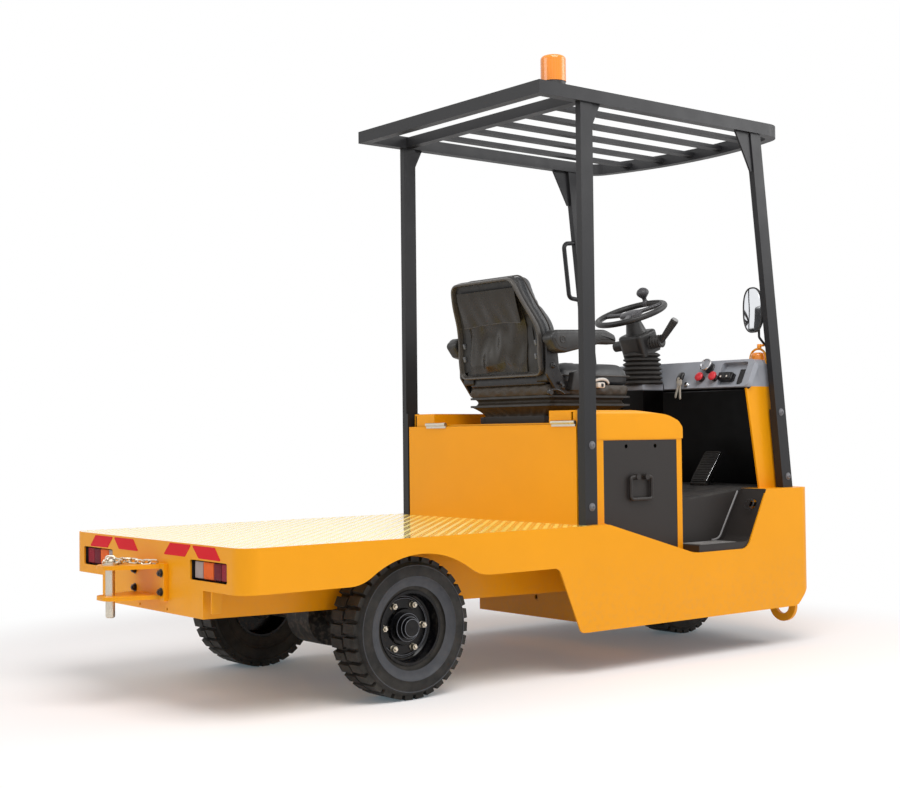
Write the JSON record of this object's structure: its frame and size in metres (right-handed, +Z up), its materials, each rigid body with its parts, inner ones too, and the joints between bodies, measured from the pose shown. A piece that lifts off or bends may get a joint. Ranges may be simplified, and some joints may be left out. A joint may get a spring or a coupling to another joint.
{
  "type": "airport baggage tug",
  "caption": "Three-wheeled electric platform tug with a rear load deck, seat box, tow jaw, steered front wheel and a slatted canopy on posts.",
  "frame": {"origin": "on the ground at the middle of the overall length, on the centreline", "axes": "+X forward, +Y to the operator's left, +Z up"},
  "size_m": [2.955, 1.174, 2.219],
  "materials": {
    "tyre": "matt black rubber",
    "wheel_black": "satin black paint",
    "chassis_black": "satin black paint",
    "body_yellow": "semi gloss orange yellow paint",
    "deck_yellow": "semi gloss yellow paint on tread plate",
    "panel_grey": "satin dark grey paint",
    "frame_black": "satin black powder coat",
    "steel_zinc": "zinc plated",
    "step_grey": "ribbed grey tread",
    "mat_black": "ribbed rubber mat",
    "rubber_black": "matt moulded rubber",
    "plastic_black": "grained black plastic",
    "dash_grey": "grained dark grey plastic",
    "seat_vinyl": "soft black vinyl",
    "lens_red": "clear coloured lens",
    "lens_amber": "clear coloured lens",
    "lens_clear": "clear lamp glass"
  },
  "bodies": {
    "chassis": {"rear_axle": "chassis_black", "front_subframe": "chassis_black", "main_frame": "body_yellow", "deck_plate": "deck_yellow", "rear_apron": "body_yellow", "side_skirts": "body_yellow", "side_ledges": "body_yellow", "nose_shell": "body_yellow", "lashing_rings": "body_yellow", "tail_lamp_trays": "plastic_black", "tail_lamp_lenses": "lens_red", "seat_box": "body_yellow", "side_panels": "panel_grey", "battery_block": "chassis_black", "hood_hinges": "steel_zinc", "footwell_floor": "mat_black", "step_wells": "panel_grey", "pedals": "plastic_black", "front_cowl": "body_yellow", "dash_console": "dash_grey", "dash_controls": "plastic_black", "column_stand": "dash_grey", "column_head": "plastic_black", "column_bellows": "rubber_black", "rear_posts": "frame_black", "front_posts": "frame_black", "grab_handle": "frame_black", "canopy_frame": "frame_black", "canopy_slats": "frame_black", "beacon_base": "plastic_black", "beacon_lens": "lens_amber", "tow_coupling": "body_yellow", "indicator_lamp": "lens_amber", "lamp_hoop": "body_yellow", "mirror": "frame_black", "headlamps": "lens_clear"},
    "rear_wheel_left": {"rear_tyre_left": "tyre", "rear_rim_left": "wheel_black"},
    "rear_wheel_right": {"rear_tyre_right": "tyre", "rear_rim_right": "wheel_black"},
    "fork": {"steering_fork": "chassis_black"},
    "front_wheel": {"front_tyre": "tyre", "front_rim": "wheel_black"},
    "hand_wheel": {"steering_wheel": "plastic_black"},
    "seat_lid": {"hood": "body_yellow", "seat_base": "plastic_black", "seat_cushion": "seat_vinyl", "seat_back_shell": "plastic_black", "seat_back_pad": "seat_vinyl", "armrests": "plastic_black"},
    "drawbar_pin": {"tow_pin": "steel_zinc"}
  },
  "joints": [
    {"name": "rear_left_spin", "type": "hinge", "parent": "chassis", "child": "rear_wheel_left", "pos_m": [-0.6325, 0.46, 0.2325], "axis": [0, 1, 0], "continuous": true},
    {"name": "rear_right_spin", "type": "hinge", "parent": "chassis", "child": "rear_wheel_right", "pos_m": [-0.6325, -0.46, 0.2325], "axis": [0, 1, 0], "continuous": true},
    {"name": "hand_wheel_turn", "type": "hinge", "parent": "chassis", "child": "hand_wheel", "pos_m": [0.9445, 0, 1.365], "axis": [-0.3649, 0, 0.9311], "range_deg": [-360, 360]},
    {"name": "fork_steer", "type": "hinge", "parent": "chassis", "child": "fork", "pos_m": [1.1825, 0, 0.5], "axis": [0, 0, 1], "range_deg": [-60, 60]},
    {"name": "front_spin", "type": "hinge", "parent": "fork", "child": "front_wheel", "pos_m": [1.1825, 0, 0.2325], "axis": [0, 1, 0], "continuous": true},
    {"name": "seat_lid_tilt", "type": "hinge", "parent": "chassis", "child": "seat_lid", "pos_m": [0.1335, 0, 0.902], "axis": [0, -1, 0], "range_deg": [0, 60]},
    {"name": "tow_pin_lift", "type": "slide", "parent": "chassis", "child": "drawbar_pin", "axis": [0, 0, 1], "range_m": [0, 0.15]}
  ],
  "couplings": [
    {"joint": "fork_steer", "follows": "hand_wheel_turn", "ratio": 0.16667}
  ]
}
